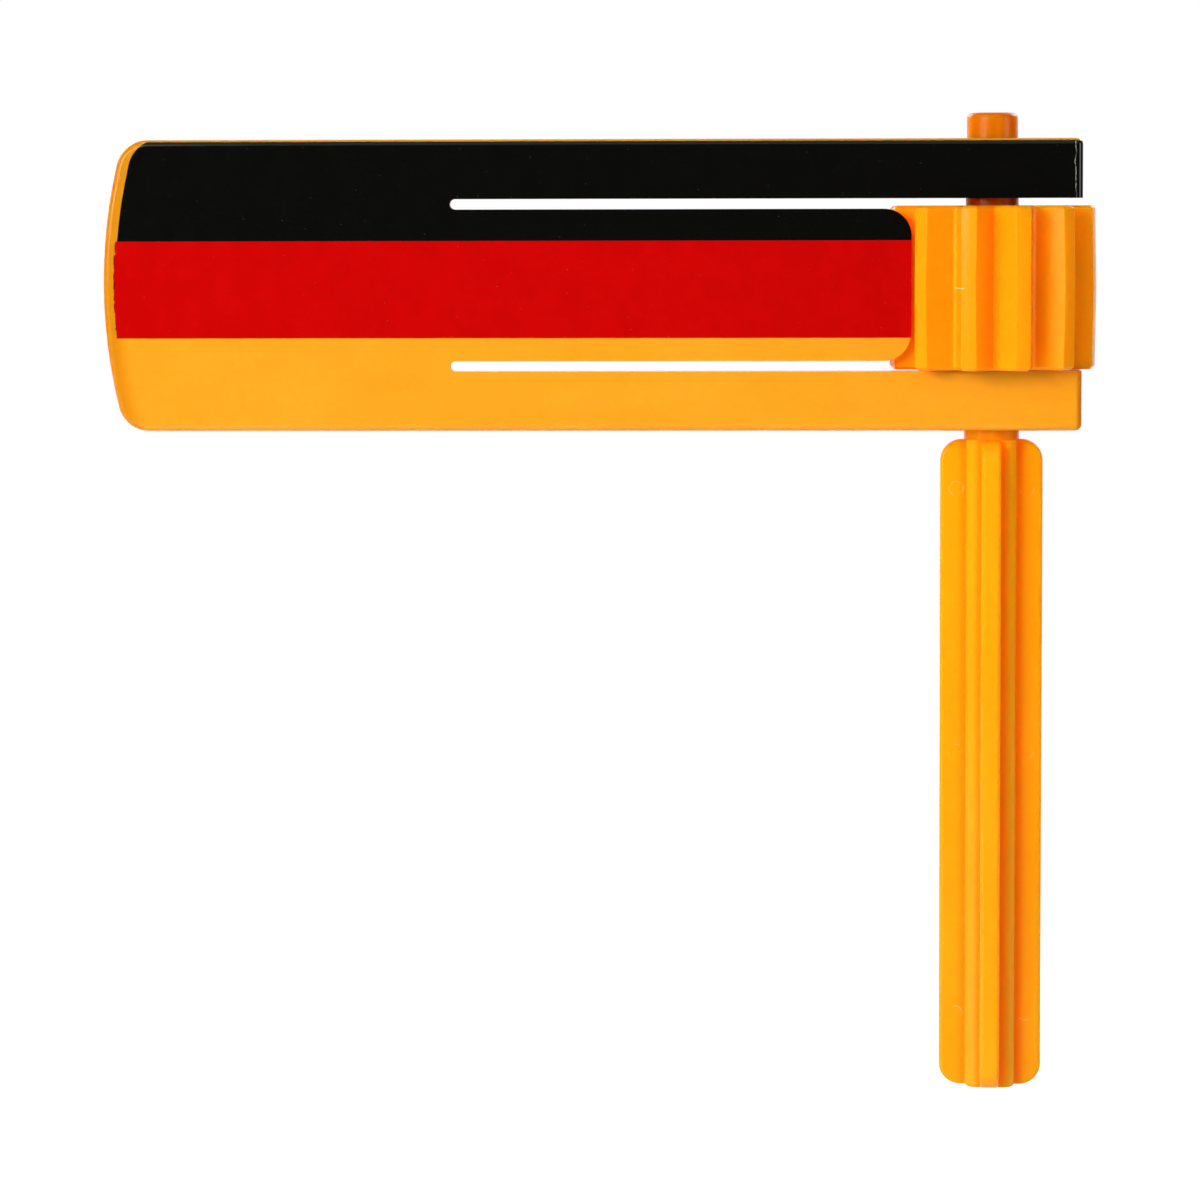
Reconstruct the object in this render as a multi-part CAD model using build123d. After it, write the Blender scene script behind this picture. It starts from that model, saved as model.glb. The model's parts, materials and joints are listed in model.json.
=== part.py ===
from build123d import *
import os
from math import cos, degrees, radians, sin, sqrt, tan

# Sizes are in millimetres. X runs along the frame to its open end, Y away from the viewer and Z up the axle.
# The origin is the middle of the handle's lower end, on the axle's line.

# Handle and axle
grip_length = 129.75
fin_span = 20.4
fin_thickness = 3.9
fin_corner_radius = 4.3
fin_edge_radius = 0.8
grip_core_width = 10.0
grip_core_depth = 12.6
grip_core_corner = 2.4
grip_turn = -2.0
ejector_mark_diameter = 2.8
ejector_mark_depth = 0.1
ejector_mark_gap = 0.6
ejector_mark_rows = 3
lowest_mark_inset = 14.5
highest_mark_inset = 9.8
lower_journal_diameter = 11.0
upper_journal_diameter = 10.5
drive_rib_width = 2.2
drive_rib_count = 4
axle_tip_length = 5.1
axle_tip_relief = 0.18
axle_tip_rounding = 1.2

# Frame
neck_gap = 2.0
arm_height = 11.8
frame_reach = 176.5
frame_end = 17.45
left_end_radius = 103.0
left_corner_radius = 6.2
front_edge_radius = 1.3
plate_thickness = 2.0
wall_thickness = 1.8
lip_thickness = 1.5
lip_depth = 4.0
root_rib_thickness = 1.6
root_rib_depth = 6.0
root_rib_offset = 4.0
bearing_wall = 2.2
rear_margin = 1.0
running_clearance = 0.08

# Tongue
tongue_width = 30.0
slot_width = 2.05
slot_end_distance = 107.4
tongue_tip_radius = 5.4
tip_clearance = 0.5

# Cog wheel
tooth_count = 12
cog_radius = 20.9
root_radius = 15.6
cog_lift = 0.25
cog_headroom = 1.45
crest_width = 2.9
valley_width = 0.6
first_crest_angle = -14.7
cog_draft = 1.1
cog_end_bevel = 0.6
cog_wall = 2.2
cog_web = 2.4
hub_wall = 2.4
seat_clearance = 0.05

# Printed stripes
ink_thickness = 0.1
black_height = 20.05
red_height = 19.2
black_margin = 2.65
red_margin = 2.3
bare_edge = 0.6
arm_end_wrap = 1.0

# Heights worked out from the sizes above
lower_arm_bottom = grip_length + neck_gap
lower_arm_top = lower_arm_bottom + arm_height
bay_height = tongue_width + 2 * slot_width
upper_arm_bottom = lower_arm_top + bay_height
frame_top = upper_arm_bottom + arm_height
frame_height = frame_top - lower_arm_bottom
frame_middle = (frame_top + lower_arm_bottom) / 2
cog_height = bay_height - cog_lift - cog_headroom
cog_bottom = lower_arm_top + cog_lift
cog_top = cog_bottom + cog_height
axle_top = frame_top + axle_tip_length
black_red_line = frame_top - black_height
red_gold_line = black_red_line - red_height

lower_journal_radius = lower_journal_diameter / 2
upper_journal_radius = upper_journal_diameter / 2
bearing_radius = max(lower_journal_radius, upper_journal_radius) + running_clearance + bearing_wall

# The tongue lies in the valley between two teeth, just behind the crest that stands in front of its tip
tooth_pitch = 360 / tooth_count
crest_half_angle = degrees(crest_width / 2 / cog_radius)
valley_half_angle = degrees(valley_width / 2 / root_radius)
valley_angle = first_crest_angle - 1.5 * tooth_pitch
front_crest_angle = first_crest_angle - tooth_pitch - crest_half_angle
tongue_back = -root_radius * cos(radians(valley_angle))
front_face = tongue_back - plate_thickness
rear_face = bearing_radius + rear_margin
frame_depth = rear_face - front_face
tongue_tip = cog_radius * sin(radians(front_crest_angle)) - tip_clearance
slot_end = -slot_end_distance
tongue_root = slot_end + slot_width


def box_between(low, high):
    """A box given by its lowest and highest corners."""
    middle = [(a + b) / 2 for a, b in zip(low, high)]
    size = [b - a for a, b in zip(low, high)]
    return Pos(*middle) * Box(*size)


def axle_cylinder(radius, bottom, top):
    """A round bar on the axle's line."""
    return Pos(0, 0, (bottom + top) / 2) * Cylinder(radius, top - bottom)


def frame_outline(grow):
    """The frame's front view: a bowed left end with rounded corners and square arms, larger all round by grow."""
    length = frame_reach + frame_end + 2 * grow
    block = Pos((frame_end - frame_reach) / 2, frame_middle) * Rectangle(length, frame_height + 2 * grow)
    bow_centre = left_end_radius - frame_reach
    bow = Pos(bow_centre, frame_middle) * Circle(left_end_radius + grow)
    straight = Pos(bow_centre + frame_reach, frame_middle) * Rectangle(2 * frame_reach, 2 * frame_height)
    outline = block & (bow + straight)
    outline = fillet(outline.vertices().sort_by(Axis.X)[:2], left_corner_radius + grow)
    if front_edge_radius + grow > 0:
        outline = fillet(outline.vertices().sort_by(Axis.X)[-2:], front_edge_radius + grow)
    return outline


def frame_block(grow):
    """The frame's outer form with its rounded front edge, larger by grow on every side but the rear."""
    block = extrude(Plane.XZ.offset(-rear_face) * frame_outline(grow), frame_depth + grow)
    front_edges = block.faces().sort_by(Axis.Y)[0].edges()
    return fillet(front_edges, front_edge_radius + grow)


def bay():
    """The opening between the arms for cog and tongue, with the two round-ended slots beside the tongue's root."""
    reach = 2 * frame_depth
    past_arms = frame_end + wall_thickness
    opening = box_between((tongue_root, -reach, lower_arm_top), (past_arms, reach, upper_arm_bottom))
    slot_radius = slot_width / 2
    for slot_middle in (lower_arm_top + slot_radius, upper_arm_bottom - slot_radius):
        start = slot_end + slot_radius
        opening += Pos(start, 0, slot_middle) * Rot(X=90) * Cylinder(slot_radius, 2 * reach)
        opening += box_between(
            (start, -reach, slot_middle - slot_radius),
            (tongue_root, reach, slot_middle + slot_radius),
        )
    return opening


def bearing_block(bottom, top):
    """A D-shaped block behind the plate that the axle runs through."""
    foot = box_between((-bearing_radius, tongue_back, bottom), (bearing_radius, 0, top))
    return foot + axle_cylinder(bearing_radius, bottom, top)


def make_frame():
    """An open-backed tray with lipped arms, a rib across the tongue's root and a bearing block in each arm."""
    pocket = extrude(Plane.XZ.offset(-rear_face) * frame_outline(-wall_thickness), rear_face - tongue_back)
    shell = frame_block(0) - pocket

    rib_right = slot_end - root_rib_offset
    inside_bottom = lower_arm_bottom + wall_thickness
    inside_top = frame_top - wall_thickness
    shell += box_between(
        (rib_right - root_rib_thickness, tongue_back, inside_bottom),
        (rib_right, tongue_back + root_rib_depth, inside_top),
    )
    for low in (lower_arm_top - lip_thickness, upper_arm_bottom):
        shell += box_between(
            (rib_right, tongue_back, low),
            (frame_end - wall_thickness, tongue_back + lip_depth, low + lip_thickness),
        )

    shell += bearing_block(inside_bottom, lower_arm_top)
    shell += bearing_block(upper_arm_bottom, inside_top)
    shell -= bay()
    shell -= axle_cylinder(lower_journal_radius + running_clearance, grip_length, cog_bottom)
    shell -= axle_cylinder(upper_journal_radius + running_clearance, cog_top, axle_top)
    return shell


def tongue_outline():
    """The tongue's front view: square at the root, with rounded corners at the tip."""
    middle = Pos((tongue_root + tongue_tip) / 2, frame_middle)
    plate = middle * Rectangle(tongue_tip - tongue_root, tongue_width)
    return fillet(plate.vertices().sort_by(Axis.X)[-2:], tongue_tip_radius)


def make_tongue():
    return extrude(Plane.XZ.offset(-tongue_back) * tongue_outline(), plate_thickness)


def stripe_band(low, high, margin):
    """The space between two stripe lines, kept back from the frame's left end by an unprinted margin."""
    reach = frame_depth
    area = Pos(margin, 0) * frame_outline(ink_thickness)
    area = extrude(Plane.XZ.offset(-reach) * area, 2 * reach)
    return area & box_between((-2 * frame_reach, -reach, low), (2 * frame_end, reach, high))


def frame_stripe(low, high, margin):
    """An ink film on the frame's front, turned part of the way over its rounded edge and round the arm's end."""
    in_front = front_face - front_edge_radius
    edge_rise = front_edge_radius - bare_edge
    stripe_wrap = front_edge_radius - sqrt(front_edge_radius**2 - edge_rise**2)
    over_edge = box_between(
        (-2 * frame_reach, in_front, low),
        (2 * frame_end, front_face + stripe_wrap, high),
    )
    over_arm_end = box_between(
        (frame_end - front_edge_radius, in_front, low),
        (2 * frame_end, front_face + arm_end_wrap, min(high, frame_top - bare_edge)),
    )
    skin = frame_block(ink_thickness) & (over_edge + over_arm_end) & stripe_band(low, high, margin)
    return skin - frame_block(0) - bay()


def tongue_stripe(low, high):
    film = extrude(Plane.XZ.offset(-front_face) * tongue_outline(), ink_thickness)
    return film & stripe_band(low, high, red_margin)


def cog_point(radius, angle):
    """A point of the cog's end view at an angle from the viewer's side, turning towards +X."""
    return (radius * sin(radians(angle)), -radius * cos(radians(angle)))


def cog_star():
    """The cog's end view: round-topped crests, straight flanks and narrow valley floors."""
    edges = []
    for tooth in range(tooth_count):
        crest = first_crest_angle + tooth * tooth_pitch
        start = cog_point(cog_radius, crest - crest_half_angle)
        top = cog_point(cog_radius, crest)
        end = cog_point(cog_radius, crest + crest_half_angle)
        valley = crest + tooth_pitch / 2
        floor_start = cog_point(root_radius, valley - valley_half_angle)
        floor_end = cog_point(root_radius, valley + valley_half_angle)
        next_start = cog_point(cog_radius, crest + tooth_pitch - crest_half_angle)
        edges += [ThreePointArc(start, top, end), Line(end, floor_start)]
        edges += [Line(floor_start, floor_end), Line(floor_end, next_start)]
    return make_face(edges)


def cog_barrel():
    """The turned form that the crests lie on, drafted both ways from mid height."""
    half = cog_height / 2
    end_radius = cog_radius - half * tan(radians(cog_draft))
    profile = Polyline((0, -half), (end_radius, -half), (cog_radius, 0), (end_radius, half), (0, half), close=True)
    return Pos(0, 0, cog_bottom + half) * revolve(Plane.XZ * make_face(profile), Axis.Z)


def drive_ribs(clearance, bottom, top):
    """The ribs on the axle that turn the cog, or with a clearance the grooves they slide into."""
    width = drive_rib_width + 2 * clearance
    ribs = []
    for index in range(drive_rib_count):
        rib = box_between((0, -width / 2, bottom), (lower_journal_diameter, width / 2, top))
        ribs.append(Rot(Z=first_crest_angle + index * 360 / drive_rib_count) * rib)
    return (Part() + ribs) & axle_cylinder(lower_journal_radius + clearance, bottom, top)


def make_cog():
    """A toothed shell cored out from both ends to a web at mid height, with a grooved hub."""
    star = cog_star()
    cog = extrude(Pos(0, 0, cog_bottom) * star, cog_height) & cog_barrel()
    ends = cog.faces().sort_by(Axis.Z)
    cog = chamfer(ends[0].edges() + ends[-1].edges(), cog_end_bevel)

    hub_radius = max(lower_journal_radius, upper_journal_radius) + seat_clearance + hub_wall
    hollow = offset(star, -cog_wall, kind=Kind.INTERSECTION) - Circle(hub_radius)
    hollow_depth = (cog_height - cog_web) / 2
    cog -= extrude(Pos(0, 0, cog_bottom) * hollow, hollow_depth)
    cog -= extrude(Pos(0, 0, cog_top - hollow_depth) * hollow, hollow_depth)
    cog -= axle_cylinder(upper_journal_radius + seat_clearance, lower_arm_top, upper_arm_bottom)
    return cog - drive_ribs(seat_clearance, lower_arm_top, upper_arm_bottom)


def fin_blade():
    """One full-width blade of the grip, standing on the origin, with rounded corners and edges."""
    blade = Pos(0, grip_length / 2) * RectangleRounded(fin_span, grip_length, fin_corner_radius)
    blade = extrude(Plane.XZ * blade, fin_thickness / 2, both=True)
    return fillet(blade.edges(), fin_edge_radius)


def make_handle():
    """The grip's crossed blades and core, with the stepped axle standing on them."""
    side_fins = fin_blade()
    mark_offset = grip_core_width / 2 + ejector_mark_gap + ejector_mark_diameter / 2
    mark_step = (grip_length - lowest_mark_inset - highest_mark_inset) / (ejector_mark_rows - 1)
    mark = Rot(X=90) * Cylinder(ejector_mark_diameter / 2, 2 * ejector_mark_depth)
    for row in range(ejector_mark_rows):
        for side in (-1, 1):
            height = lowest_mark_inset + row * mark_step
            side_fins -= Pos(side * mark_offset, -fin_thickness / 2, height) * mark

    core = extrude(RectangleRounded(grip_core_width, grip_core_depth, grip_core_corner), grip_length)
    core = fillet(core.edges().group_by(Axis.Z)[0], fin_edge_radius)
    grip = Rot(Z=grip_turn) * (side_fins + Rot(Z=90) * fin_blade() + core)

    tip = axle_cylinder(upper_journal_radius - axle_tip_relief, frame_top, axle_top)
    tip = fillet(tip.edges().sort_by(Axis.Z)[-1], axle_tip_rounding)
    axle = axle_cylinder(lower_journal_radius, grip_length, cog_bottom)
    axle += axle_cylinder(upper_journal_radius, cog_bottom, frame_top)
    axle += drive_ribs(0, cog_bottom, cog_top - cog_end_bevel)
    return grip + axle + tip


pieces = {
    "frame": make_frame(),
    "tongue": make_tongue(),
    "cog_wheel": make_cog(),
    "handle": make_handle(),
    "black_stripe": frame_stripe(black_red_line, frame_top, black_margin),
    "red_stripe": frame_stripe(red_gold_line, black_red_line, red_margin),
    "tongue_black_stripe": tongue_stripe(black_red_line, frame_top),
    "tongue_red_stripe": tongue_stripe(red_gold_line, black_red_line),
}

os.makedirs("parts", exist_ok=True)
for name, piece in pieces.items():
    export_step(piece, f"parts/{name}.step")
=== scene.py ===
import bmesh
import bpy
import json
from math import cos, pi, radians, sin
from mathutils import Matrix, Vector
from mathutils.noise import fractal
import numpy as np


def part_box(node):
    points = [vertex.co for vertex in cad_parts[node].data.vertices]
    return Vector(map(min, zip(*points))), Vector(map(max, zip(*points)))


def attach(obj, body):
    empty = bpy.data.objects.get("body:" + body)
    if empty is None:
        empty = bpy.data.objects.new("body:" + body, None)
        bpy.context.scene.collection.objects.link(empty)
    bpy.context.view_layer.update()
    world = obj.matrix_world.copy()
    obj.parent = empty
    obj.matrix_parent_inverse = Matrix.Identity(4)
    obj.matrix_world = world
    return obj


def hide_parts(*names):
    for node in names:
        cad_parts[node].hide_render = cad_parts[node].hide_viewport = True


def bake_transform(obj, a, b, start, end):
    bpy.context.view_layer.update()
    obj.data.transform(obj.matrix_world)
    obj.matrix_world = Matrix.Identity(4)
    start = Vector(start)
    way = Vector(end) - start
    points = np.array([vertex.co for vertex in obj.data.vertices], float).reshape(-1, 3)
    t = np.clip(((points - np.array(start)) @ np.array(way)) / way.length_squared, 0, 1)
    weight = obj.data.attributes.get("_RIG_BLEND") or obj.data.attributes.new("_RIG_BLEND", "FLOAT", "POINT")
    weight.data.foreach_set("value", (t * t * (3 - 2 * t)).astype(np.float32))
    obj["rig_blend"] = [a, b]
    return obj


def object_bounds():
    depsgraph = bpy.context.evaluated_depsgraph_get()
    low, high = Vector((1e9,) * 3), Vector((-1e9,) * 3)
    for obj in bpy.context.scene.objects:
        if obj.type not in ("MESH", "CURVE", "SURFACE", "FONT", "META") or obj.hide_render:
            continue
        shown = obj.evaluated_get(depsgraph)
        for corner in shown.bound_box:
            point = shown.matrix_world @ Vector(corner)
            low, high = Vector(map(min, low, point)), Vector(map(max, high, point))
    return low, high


# Lengths are in metres, in the shared frame: X along the rattle, Y away from the viewer, Z up the axle.
# Colours are linear red, green and blue.
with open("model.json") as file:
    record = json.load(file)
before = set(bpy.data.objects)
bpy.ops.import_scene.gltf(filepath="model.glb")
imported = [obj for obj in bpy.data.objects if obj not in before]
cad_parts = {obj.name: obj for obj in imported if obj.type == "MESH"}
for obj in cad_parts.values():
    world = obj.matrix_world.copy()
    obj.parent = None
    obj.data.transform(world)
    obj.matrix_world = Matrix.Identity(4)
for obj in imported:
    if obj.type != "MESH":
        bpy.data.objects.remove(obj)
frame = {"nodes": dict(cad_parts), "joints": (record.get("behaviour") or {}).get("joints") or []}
cad_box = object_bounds()

# Places read from the frame
joints = {joint["name"]: joint for joint in frame["joints"]}
hinge = Vector(joints["tongue_flex"]["pos_m"])
frame_low, frame_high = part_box("frame")
tongue_low, tongue_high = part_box("tongue")
red_low, red_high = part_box("red_stripe")
cog_low, cog_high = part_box("cog_wheel")
front_face = tongue_low.y
tongue_root = tongue_low.x
red_gold_line = red_low.z

# Moulding
edge_rounding = 0.00022
rounding_steps = 3
front_rounding = 0.0015
weld_distance = 1e-6
flat_angle = radians(0.4)
sharp_angle = radians(32)
smooth_angle = radians(40)

# Plastic
frame_gold = (0.95, 0.36, 0.014)
cog_gold = (0.96, 0.36, 0.002)
handle_gold = (0.97, 0.4, 0.002)
frame_streaks = (0.3, 1, 1)
cog_streaks = (1, 1, 0.3)
handle_streaks = (1, 1, 0.2)
frame_translucency = 0.0025
cog_translucency = 0.008
handle_translucency = 0.008
frame_gloss = 0.2
cog_gloss = 0.12
handle_gloss = 0.12
flow_size = 0.006
cloud_size = 0.03
tone_span = (0.3, 0.7)
grain_size = 0.0006
grain_height = 0.00002
scuff_size = 0.0025
scuff_span = (0.3, 0.75)
satin_roughness = (0.14, 0.22)
plastic_bump = 0.5
plastic_ior = 1.46
glow_through = (1.0, 0.12, 0.02)

# Frame: painted shade, a deeper colour, on its side walls and at its left end, and no glow where the tongue
# joins it
side_wall_painted_shade = (0.78, 0.24, 0.003)
side_wall_shade_span = (0.05, 0.45)
left_end_painted_shade = (0.72, 0.25, 0.003)
left_end_radius = 0.103
left_shade_reach = 0.005
left_rim = 0.001
root_core = 0.001
root_reach = 0.006

# Tongue
bend_length = 0.04
bend_step = 0.0025

# Cog: its parting line and the scrap of flash on it
flash_colour = (1.0, 0.75, 0.5)
flash_place = -0.0069
flash_core = 0.0006
flash_reach = 0.0009
flash_front = (-0.002, -0.001)
parting_core = 0.00003
parting_reach = 0.0001
parting_height = 0.00004
parting_share = 0.25

# Axle: painted shade, redder where it sits between the cog and the upper arm, and darker on the pin above the
# arm
axle_painted_shade = (0.98, 0.09, 0.001)
axle_tip_painted_shade = (0.76, 0.17, 0.001)
colour_step = 0.001

# Grip: painted shade in its inner corners, and the rims of its ejector marks, painted paler as a highlight
corner_painted_shade = (0.95, 0.27, 0.001)
side_corner = (0.005, 0.00195, 0)
front_corner = (0.00195, 0.0063, 0)
corner_reach = 0.0022
rim_painted_highlight = (1.0, 0.6, 0.2)
rim_highlight_share = 0.4
rim_height = 0.00006
rim_breaks = 0.003
rim_break_span = (0.48, 0.62)
rim_front = (-0.0012, 0.0)
grip_length = 0.12975
mark_rows = 3
mark_offset = 0.007
mark_radius = 0.0014
mark_rim = 0.00016
rim_core = mark_rim * 0.3
lowest_mark = 0.0145
highest_mark_inset = 0.0098
mark_step = (grip_length - lowest_mark - highest_mark_inset) / (mark_rows - 1)

# Print
black = (0.0025, 0.0025, 0.0022)
red = (0.58, 0.0006, 0.0004)
mottle_size = 0.004
mottle_span = (0.35, 0.65)
mottle_shade = 0.94
ink_gloss_span = (0.3, 0.7)
ink_roughness = (0.08, 0.12)
ink_grain_size = 0.0005
ink_grain_height = 0.000015
ink_bump = 0.4
ink_gloss = 0.4
ink_ior = 1.45
red_end = 0.003
ragged_step = 0.0003
ragged_depth = 0.0003
ragged_falloff = 0.8
ragged_lacunarity = 2.0
ragged_octaves = 3

# Marks of use on the print
dust_colour = (0.4, 0.38, 0.35)
dust_spacing = 0.007
dust_radius = 0.00007
dust_share = 0.5
scratch_inset = 0.0014
scratch_width = 0.00011
scratch_core = scratch_width * 0.2
scratch_wander = 0.0012
scratch_wander_size = 0.003
scratch_breaks = 0.0007
scratch_break_span = (0.4, 0.6)
scratch_strength = (0.15, 1.0)

# Stage
floor_drop = 0.12
floor_radius = 2.5
floor_sides = 96
floor_colour = (0.6, 0.6, 0.6)
floor_roughness = 0.9
floor_gloss = 0.1
floor_glow_reach = (0.15, 0.8)
floor_glow = (0.72, 1.0)
floor_mirror_fade = (-0.6, -0.25)
room_level = 0.04
backdrop_span = (0.4, 0.7)
white = (1, 1, 1)

# Soft lamps: angles in degrees, and a level at which 1 lights a white face turned to the lamp fully white
lamp_aim = Vector((-0.05, 0, 0.13))
lamps = {
    "key_left": dict(azimuth=-42, elevation=12, distance=1.8, width=1.0, height=0.6, level=0.61),
    "front_left": dict(azimuth=-28, elevation=20, distance=1.8, width=1.0, height=0.6, level=0.2),
    "side_right": dict(azimuth=68, elevation=11, distance=1.0, width=0.4, height=0.4, level=0.2),
    "top": dict(azimuth=5, elevation=47, distance=0.85, width=1.0, height=0.8, level=0.23),
    "low_left": dict(azimuth=-30, elevation=-27, distance=0.387, width=0.35, height=0.1, level=0.15),
    "rear_left": dict(azimuth=-142, elevation=25, distance=1.6, width=0.9, height=0.6, level=0.3),
    "rear_right": dict(azimuth=145, elevation=30, distance=1.6, width=0.9, height=0.6, level=0.3),
}

# Camera: the axle and the top of the cog lie at these pixels of the photograph
photo_size = 1200
pixel_size = 0.0002006
sensor_width = 36
camera_distance = 1.04
camera_azimuth = radians(2.3)
camera_elevation = radians(4.3)
camera_roll = radians(-0.12)
axle_pixel = 990.0
level_pixel = 207.4


# Materials

def new_material(name):
    """A new node material with its node tree and its shader."""
    material = bpy.data.materials.new(name)
    material.use_nodes = True
    tree = material.node_tree
    return material, tree, tree.nodes["Principled BSDF"]


def add_node(tree, kind, settings=None, **inputs):
    """A node with its settings, and with plain values or links for its inputs."""
    node = tree.nodes.new(kind)
    for key, value in (settings or {}).items():
        setattr(node, key, value)
    for key, value in inputs.items():
        socket = node.inputs[int(key[1:])] if key[1:].isdigit() else node.inputs[key.replace("_", " ")]
        if isinstance(value, bpy.types.NodeSocket):
            tree.links.new(value, socket)
        else:
            socket.default_value = value
    return node


def math(tree, operation, a, b=0.0, c=0.0):
    """The result of one step of arithmetic."""
    return add_node(tree, "ShaderNodeMath", {"operation": operation}, _0=a, _1=b, _2=c).outputs[0]


def vector_math(tree, operation, a, b=(0, 0, 0)):
    """The node of one step of arithmetic on places."""
    return add_node(tree, "ShaderNodeVectorMath", {"operation": operation}, _0=a, _1=b)


def rgba(colour):
    return (*colour, 1.0)


def mix_colour(tree, share, a, b):
    """Two colours mixed by a share from 0 to 1."""
    settings = {"data_type": "RGBA", "clamp_factor": True}
    return add_node(tree, "ShaderNodeMix", settings, _0=share, _6=a, _7=b).outputs[2]


def remap(tree, value, span, to=(0.0, 1.0)):
    """A value's span moved smoothly to another span, held at its ends."""
    settings = {"interpolation_type": "SMOOTHSTEP"}
    low, high = span
    to_low, to_high = to
    node = add_node(tree, "ShaderNodeMapRange", settings, _0=value, _1=low, _2=high, _3=to_low, _4=to_high)
    return node.outputs[0]


def near(tree, value, centre, inner, outer):
    """1 within an inner distance of a value, falling to 0 at an outer distance."""
    away = math(tree, "ABSOLUTE", math(tree, "SUBTRACT", value, centre))
    return remap(tree, away, (inner, outer), (1.0, 0.0))


def place(tree):
    """Where on the object a point is, in metres."""
    return add_node(tree, "ShaderNodeTexCoord").outputs["Object"]


def along(tree, where):
    """A place's distances along X, Y and Z."""
    return add_node(tree, "ShaderNodeSeparateXYZ", Vector=where).outputs


def noise(tree, where, size, detail=2.0, roughness=0.5):
    """Smooth noise with features of a given size in metres."""
    node = add_node(tree, "ShaderNodeTexNoise", Vector=where, Scale=1 / size, Detail=detail,
                    Roughness=roughness)
    return node.outputs[0]


def stretched(tree, where, scale):
    """A place scaled apart along its axes, for noise that runs one way."""
    return add_node(tree, "ShaderNodeMapping", {"vector_type": "POINT"}, Vector=where, Scale=scale).outputs[0]


def paler(colour):
    return [min(1.0, channel * 1.03 + 0.002) for channel in colour]


def deeper(colour):
    return [colour[0] * 0.985, colour[1] * 0.95, colour[2] * 0.8]


def plastic(name, colour, streaks, translucency, gloss, add_marks_and_shade):
    """Translucent moulded plastic with flow streaks, a satin skin, a fine grain, and a piece's own marks and
    painted shade.
    """
    material, tree, shader = new_material(name)
    where = place(tree)
    flow = noise(tree, stretched(tree, where, streaks), flow_size, 3)
    cloud = noise(tree, where, cloud_size)
    tone = math(tree, "ADD", math(tree, "MULTIPLY", flow, 0.5), math(tree, "MULTIPLY", cloud, 0.5))
    base = mix_colour(tree, remap(tree, tone, tone_span), rgba(deeper(colour)), rgba(paler(colour)))
    relief = math(tree, "MULTIPLY", noise(tree, where, grain_size), grain_height)
    base, relief = add_marks_and_shade(tree, where, base, relief)
    tree.links.new(base, shader.inputs["Base Color"])

    scuffs = noise(tree, where, scuff_size, 4, 0.6)
    tree.links.new(remap(tree, scuffs, scuff_span, satin_roughness), shader.inputs["Roughness"])
    bump = add_node(tree, "ShaderNodeBump", Strength=plastic_bump, Distance=1.0, Height=relief)
    tree.links.new(bump.outputs[0], shader.inputs["Normal"])

    shader.subsurface_method = "BURLEY"
    shader.inputs["Subsurface Weight"].default_value = 1.0
    shader.inputs["Subsurface Radius"].default_value = glow_through
    shader.inputs["Subsurface Scale"].default_value = translucency
    shader.inputs["Specular IOR Level"].default_value = gloss
    shader.inputs["IOR"].default_value = plastic_ior
    return material


def left_end(tree, where):
    """Painted shade: 1 at the frame's curved left end, falling to 0 inside."""
    centre = (frame_low.x + left_end_radius, 0, (frame_low.z + frame_high.z) / 2)
    away = vector_math(tree, "DISTANCE", stretched(tree, where, (1, 0, 1)), centre).outputs["Value"]
    return remap(tree, away, (left_end_radius - left_shade_reach, left_end_radius - left_rim))


def frame_painted_shade(tree, where, base, relief):
    """Painted shade: a deeper colour on the frame's side walls and at its left end."""
    normal = add_node(tree, "ShaderNodeTexCoord").outputs["Normal"]
    sideways = math(tree, "ABSOLUTE", along(tree, normal)["X"])
    # Painted shade on faces turned sideways
    base = mix_colour(tree, remap(tree, sideways, side_wall_shade_span), base, rgba(side_wall_painted_shade))
    # Painted shade at the frame's left end
    base = mix_colour(tree, left_end(tree, where), base, rgba(left_end_painted_shade))
    return base, relief


def fade_at_root(material):
    """Takes the glow out of a plastic where the tongue joins the frame, so that no seam shows."""
    tree = material.node_tree
    root = near(tree, along(tree, place(tree))["X"], tongue_root, root_core, root_reach)
    weight = tree.nodes["Principled BSDF"].inputs["Subsurface Weight"]
    tree.links.new(math(tree, "SUBTRACT", 1.0, root), weight)


def parting_line(tree, where):
    """The mould's parting line round the cog at mid height, and the scrap of flash left in one valley."""
    x, depth, height = along(tree, where)
    line = near(tree, height, (cog_low.z + cog_high.z) / 2, parting_core, parting_reach)
    spot = near(tree, x, flash_place, flash_core, flash_reach)
    front = remap(tree, depth, flash_front, (1.0, 0.0))
    return line, math(tree, "MULTIPLY", line, math(tree, "MULTIPLY", spot, front))


def cog_marks(tree, where, base, relief):
    """The cog's parting line, slightly paler and raised, with its flash."""
    line, flash = parting_line(tree, where)
    base = mix_colour(tree, math(tree, "MULTIPLY", line, parting_share), base, rgba(paler(cog_gold)))
    base = mix_colour(tree, flash, base, rgba(flash_colour))
    relief = math(tree, "ADD", relief, math(tree, "MULTIPLY", line, parting_height))
    return base, relief


def grip_corner_shade(tree, where):
    """Painted shade: 1 in the inner corners where the grip's fins meet its core, falling to 0 a short way
    out.
    """
    section = stretched(tree, where, (1, 1, 0))
    folded = vector_math(tree, "ABSOLUTE", section).outputs["Vector"]
    corners = (side_corner, front_corner)
    distances = [vector_math(tree, "DISTANCE", folded, corner).outputs["Value"] for corner in corners]
    return remap(tree, math(tree, "MINIMUM", *distances), (0.0, corner_reach), (1.0, 0.0))


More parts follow.
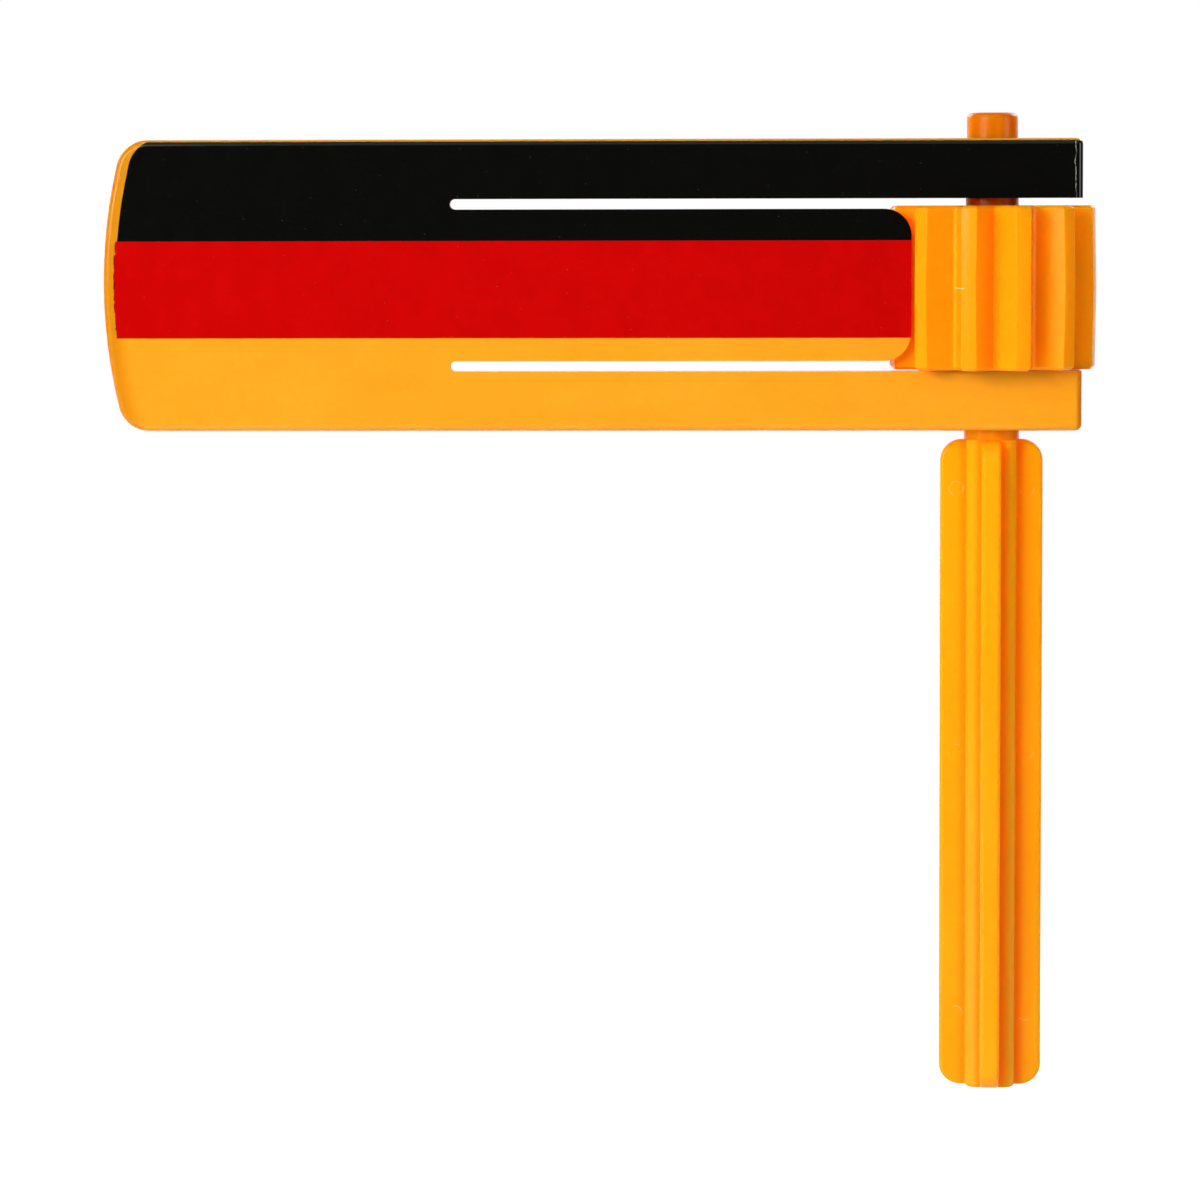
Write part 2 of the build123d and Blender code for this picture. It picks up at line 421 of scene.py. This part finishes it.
def ejector_rims_and_highlight(tree, where):
    """The thin broken rims of the round ejector marks on the front of the side fins, used for their slight
    relief and for a painted highlight along them.
    """
    x, depth, height = along(tree, where)
    aside = math(tree, "SUBTRACT", math(tree, "ABSOLUTE", x), mark_offset)
    row = math(tree, "DIVIDE", math(tree, "SUBTRACT", height, lowest_mark), mark_step)
    above = math(tree, "MULTIPLY", math(tree, "SUBTRACT", row, math(tree, "ROUND", row)), mark_step)
    spot = add_node(tree, "ShaderNodeCombineXYZ", X=aside, Y=above).outputs[0]
    away = vector_math(tree, "LENGTH", spot).outputs["Value"]
    broken = remap(tree, noise(tree, where, rim_breaks, 1), rim_break_span)
    front = remap(tree, depth, rim_front, (1.0, 0.0))
    rim = near(tree, away, mark_radius, rim_core, mark_rim)
    return math(tree, "MULTIPLY", rim, math(tree, "MULTIPLY", broken, front))


def handle_marks_and_shade(tree, where, base, relief):
    """Painted shade, redder up the axle and darker on the pin, painted shade in the grip's corners, and the
    rims of the ejector marks, raised and painted paler as a highlight.
    """
    height = along(tree, where)["Z"]
    above_cog = remap(tree, height, (cog_high.z - colour_step, cog_high.z))
    above_arm = remap(tree, height, (frame_high.z - colour_step, frame_high.z))
    # Painted shade: redder up the axle between the cog and the arm, darker on the pin above the arm
    base = mix_colour(tree, above_cog, base, rgba(axle_painted_shade))
    base = mix_colour(tree, above_arm, base, rgba(axle_tip_painted_shade))
    # Painted shade in the grip's inner corners
    base = mix_colour(tree, grip_corner_shade(tree, where), base, rgba(corner_painted_shade))
    rims = ejector_rims_and_highlight(tree, where)
    # Painted highlight along the ejector rims
    base = mix_colour(tree, math(tree, "MULTIPLY", rims, rim_highlight_share), base, rgba(rim_painted_highlight))
    relief = math(tree, "ADD", relief, math(tree, "MULTIPLY", rims, rim_height))
    return base, relief


def dust(tree, where):
    """A few tiny specks scattered over the print, placed as seen from the front."""
    parts = along(tree, where)
    flat = add_node(tree, "ShaderNodeCombineXYZ", X=parts["X"], Y=parts["Z"]).outputs[0]
    settings = {"voronoi_dimensions": "2D"}
    spread = add_node(tree, "ShaderNodeTexVoronoi", settings, Vector=flat, Scale=1 / dust_spacing)
    size = dust_radius / dust_spacing
    speck = remap(tree, spread.outputs["Distance"], (size * 0.5, size), (1.0, 0.0))
    picked = add_node(tree, "ShaderNodeSeparateColor", Color=spread.outputs["Color"]).outputs[0]
    return math(tree, "MULTIPLY", speck, math(tree, "MULTIPLY", picked, dust_share))


def scratch(tree, where):
    """A ragged rub mark down the end of the upper arm, where the print turns over the edge."""
    upwards = stretched(tree, where, (0, 0, 1))
    sway = math(tree, "SUBTRACT", noise(tree, upwards, scratch_wander_size, 3), 0.5)
    centre = math(tree, "ADD", math(tree, "MULTIPLY", sway, scratch_wander), frame_high.x - scratch_inset)
    line = near(tree, along(tree, where)["X"], centre, scratch_core, scratch_width)
    broken = remap(tree, noise(tree, where, scratch_breaks, 3), scratch_break_span, scratch_strength)
    return math(tree, "MULTIPLY", line, broken)


def ink(name, colour, scratched=False):
    """Printed ink with a faint mottle, a few dust specks and, if asked for, a rub mark."""
    material, tree, shader = new_material(name)
    where = place(tree)
    mottle = noise(tree, where, mottle_size, 4, 0.6)
    shaded = [channel * mottle_shade for channel in colour]
    base = mix_colour(tree, remap(tree, mottle, mottle_span), rgba(shaded), rgba(colour))
    marks = dust(tree, where)
    if scratched:
        marks = math(tree, "MAXIMUM", marks, scratch(tree, where))
    base = mix_colour(tree, marks, base, rgba(dust_colour))
    tree.links.new(base, shader.inputs["Base Color"])
    tree.links.new(remap(tree, mottle, ink_gloss_span, ink_roughness), shader.inputs["Roughness"])
    relief = math(tree, "MULTIPLY", noise(tree, where, ink_grain_size), ink_grain_height)
    bump = add_node(tree, "ShaderNodeBump", Strength=ink_bump, Distance=1.0, Height=relief)
    tree.links.new(bump.outputs[0], shader.inputs["Normal"])
    shader.inputs["Specular IOR Level"].default_value = ink_gloss
    shader.inputs["IOR"].default_value = ink_ior
    return material


# Meshes

def is_sharp(edge):
    """True on an outer edge where two faces meet at a clear angle."""
    return edge.is_manifold and edge.is_convex and edge.calc_face_angle() > sharp_angle


def at_root(edge):
    """True where the tongue joins the frame."""
    return all(abs(vertex.co.x - tongue_root) < weld_distance * 10 for vertex in edge.verts)


def under_ink(edge):
    """True on the front edges that a stripe covers."""
    spot = (edge.verts[0].co + edge.verts[1].co) / 2
    return spot.z > red_gold_line and spot.y < front_face + front_rounding


def plain_copy(node):
    """A copy of a CAD node with the facets of one plane joined."""
    shape = bmesh.new()
    shape.from_mesh(frame["nodes"][node].data)
    bmesh.ops.remove_doubles(shape, verts=shape.verts, dist=weld_distance)
    bmesh.ops.dissolve_limit(shape, angle_limit=flat_angle, verts=shape.verts, edges=shape.edges)
    return shape


def rounded_copy(node, stays_sharp):
    """A plain copy of a CAD node with its sharp outer edges rounded."""
    shape = plain_copy(node)
    sharp = [edge for edge in shape.edges if is_sharp(edge) and not stays_sharp(edge)]
    bmesh.ops.bevel(shape, geom=sharp, offset=edge_rounding, segments=rounding_steps, profile=0.5,
                    affect="EDGES", clamp_overlap=True)
    return shape


def slice_for_bend(shape):
    """Cuts a shape across at even steps, so that it can bend."""
    steps = int((tongue_high.x - tongue_root) / bend_step)
    for index in range(1, steps + 1):
        spot = Vector((tongue_root + index * bend_step, 0, 0))
        everything = shape.verts[:] + shape.edges[:] + shape.faces[:]
        bmesh.ops.bisect_plane(shape, geom=everything, plane_co=spot, plane_no=(1, 0, 0))
    return shape


def add_piece(shape, name, material):
    """A new object from a shape, with smooth faces and firm edges."""
    mesh = bpy.data.meshes.new(name)
    shape.to_mesh(mesh)
    shape.free()
    for layer in [layer for layer in mesh.attributes if layer.name == "custom_normal"]:
        mesh.attributes.remove(layer)
    mesh.materials.clear()
    mesh.materials.append(material)
    mesh.shade_smooth()
    mesh.set_sharp_from_angle(angle=smooth_angle)
    piece = bpy.data.objects.new(name, mesh)
    bpy.context.scene.collection.objects.link(piece)
    weighted = piece.modifiers.new("flat faces", "WEIGHTED_NORMAL")
    weighted.keep_sharp = True
    return piece


# Pieces

gold_frame = plastic("frame_plastic", frame_gold, frame_streaks, frame_translucency, frame_gloss, frame_painted_shade)
fade_at_root(gold_frame)
gold_cog = plastic("cog_plastic", cog_gold, cog_streaks, cog_translucency, cog_gloss, cog_marks)
gold_handle = plastic("handle_plastic", handle_gold, handle_streaks, handle_translucency, handle_gloss,
                      handle_marks_and_shade)
black_ink = ink("black_ink", black, scratched=True)
red_ink = ink("red_ink", red)


def make_frame():
    shape = rounded_copy("frame", lambda edge: at_root(edge) or under_ink(edge))
    piece = add_piece(shape, "frame_moulding", gold_frame)
    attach(piece, "frame")
    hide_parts("frame")


def make_cog():
    shape = rounded_copy("cog_wheel", lambda edge: False)
    piece = add_piece(shape, "toothed_cog", gold_cog)
    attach(piece, "handle")
    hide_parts("cog_wheel")


def make_tongue():
    """The tongue with rounded edges and its two prints, all sliced so that they bend near the root."""
    parts = (
        ("tongue", "tongue_blade", gold_frame, "frame_plastic"),
        ("tongue_black_stripe", "tongue_black_print", black_ink, "black_ink"),
        ("tongue_red_stripe", "tongue_red_print", red_ink, "red_ink"),
    )
    bend_end = (hinge.x + bend_length, hinge.y, hinge.z)
    for node, name, material, slot in parts:
        shape = rounded_copy(node, lambda edge: at_root(edge) or under_ink(edge) or node != "tongue")
        piece = add_piece(slice_for_bend(shape), name, material)
        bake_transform(piece, "frame", "tongue", start=hinge, end=bend_end)
        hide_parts(node)


def make_red_print():
    """The red stripe, with the slightly ragged end of a pad print at its left."""
    shape = plain_copy("red_stripe")
    end = red_low.x + red_end
    lowest = red_low.z + ragged_step
    highest = red_high.z - ragged_step
    at_end = [edge for edge in shape.edges if all(vertex.co.x < end for vertex in edge.verts)]
    upright = [edge for edge in at_end if abs(edge.verts[0].co.z - edge.verts[1].co.z) > ragged_step]
    for edge in upright:
        cuts = int(edge.calc_length() / ragged_step)
        bmesh.ops.subdivide_edges(shape, edges=[edge], cuts=cuts)
    for vertex in shape.verts:
        if vertex.co.x < end and lowest < vertex.co.z < highest:
            spot = Vector((0, 0, vertex.co.z / ragged_step / 2))
            vertex.co.x += ragged_depth * fractal(spot, ragged_falloff, ragged_lacunarity, ragged_octaves)
    piece = add_piece(shape, "red_print", red_ink)
    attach(piece, "frame")
    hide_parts("red_stripe")


def colour_plain_nodes():
    """Gives the nodes that are used as they are their materials."""
    for node, material in (("handle", gold_handle), ("black_stripe", black_ink)):
        mesh = frame["nodes"][node].data
        mesh.materials.clear()
        mesh.materials.append(material)


make_frame()
make_cog()
make_tongue()
make_red_print()
colour_plain_nodes()


# Stage, light and camera

def facing(azimuth, elevation):
    """The direction from the object to a camera or lamp, and the turn that looks back along it."""
    level = cos(elevation)
    back = Vector((sin(azimuth) * level, -cos(azimuth) * level, sin(elevation)))
    return back, (-back).to_track_quat("-Z", "Y").to_matrix().to_4x4()


def make_floor():
    """A pale floor that keeps the shadow and pales to the white background with distance."""
    shape = bmesh.new()
    bmesh.ops.create_circle(shape, cap_ends=True, radius=floor_radius, segments=floor_sides)
    mesh = bpy.data.meshes.new("floor")
    shape.to_mesh(mesh)
    shape.free()
    floor = bpy.data.objects.new("floor", mesh)
    floor.location = (0, 0, cad_box[0].z - floor_drop)
    bpy.context.scene.collection.objects.link(floor)

    material, tree, shader = new_material("pale_floor")
    shader.inputs["Base Color"].default_value = rgba(floor_colour)
    shader.inputs["Roughness"].default_value = floor_roughness
    shader.inputs["Specular IOR Level"].default_value = floor_gloss
    path = add_node(tree, "ShaderNodeLightPath").outputs
    where = place(tree)
    rear = remap(tree, along(tree, where)["Y"], floor_mirror_fade)
    mirrored = math(tree, "MAXIMUM", path["Is Glossy Ray"], path["Is Transmission Ray"])
    seen = math(tree, "MAXIMUM", path["Is Camera Ray"], math(tree, "MULTIPLY", mirrored, rear))
    away = vector_math(tree, "LENGTH", where).outputs["Value"]
    strength = math(tree, "MULTIPLY", seen, remap(tree, away, floor_glow_reach, floor_glow))
    glow = add_node(tree, "ShaderNodeEmission", Color=rgba(white), Strength=strength)
    both = add_node(tree, "ShaderNodeAddShader", _0=shader.outputs[0], _1=glow.outputs[0])
    tree.links.new(both.outputs[0], tree.nodes["Material Output"].inputs["Surface"])
    mesh.materials.append(material)


def make_world():
    """A lit white backdrop behind the object, white all round for the camera, and a dim room elsewhere."""
    world = bpy.data.worlds.new("studio")
    bpy.context.scene.world = world
    world.use_nodes = True
    tree = world.node_tree
    room = tree.nodes["Background"]
    room.inputs["Color"].default_value = rgba(white)
    room.inputs["Strength"].default_value = room_level
    backdrop = add_node(tree, "ShaderNodeBackground", Color=rgba(white), Strength=1.0)
    direction = along(tree, add_node(tree, "ShaderNodeTexCoord").outputs["Generated"])
    behind = remap(tree, direction["Y"], backdrop_span)
    seen = math(tree, "MAXIMUM", add_node(tree, "ShaderNodeLightPath").outputs["Is Camera Ray"], behind)
    mixed = add_node(tree, "ShaderNodeMixShader", _0=seen, _1=room.outputs[0], _2=backdrop.outputs[0])
    tree.links.new(mixed.outputs[0], tree.nodes["World Output"].inputs["Surface"])


def add_softbox(name, azimuth, elevation, distance, width, height, level):
    """A soft rectangular lamp aimed at the object."""
    data = bpy.data.lights.new(name, "AREA")
    data.shape = "RECTANGLE"
    data.size = width
    data.size_y = height
    data.energy = level * (pi * distance) ** 2
    lamp = bpy.data.objects.new(name, data)
    back, turn = facing(radians(azimuth), radians(elevation))
    lamp.matrix_world = Matrix.Translation(lamp_aim + back * distance) @ turn
    bpy.context.scene.collection.objects.link(lamp)


def make_camera():
    """The photograph's view, from about one metre away."""
    data = bpy.data.cameras.new("camera")
    data.sensor_width = sensor_width
    data.lens = sensor_width * camera_distance / (photo_size * pixel_size)
    camera = bpy.data.objects.new("camera", data)
    bpy.context.scene.collection.objects.link(camera)
    back, turn = facing(camera_azimuth, camera_elevation)
    half = photo_size / 2
    target = Vector(((half - axle_pixel) * pixel_size, 0, cog_high.z - (half - level_pixel) * pixel_size))
    roll = Matrix.Rotation(camera_roll, 4, "Z")
    camera.matrix_world = Matrix.Translation(target + back * camera_distance) @ turn @ roll
    bpy.context.scene.camera = camera


make_floor()
make_world()
for lamp_name, lamp in lamps.items():
    add_softbox(lamp_name, **lamp)
make_camera()
bpy.context.scene.view_settings.view_transform = "Standard"
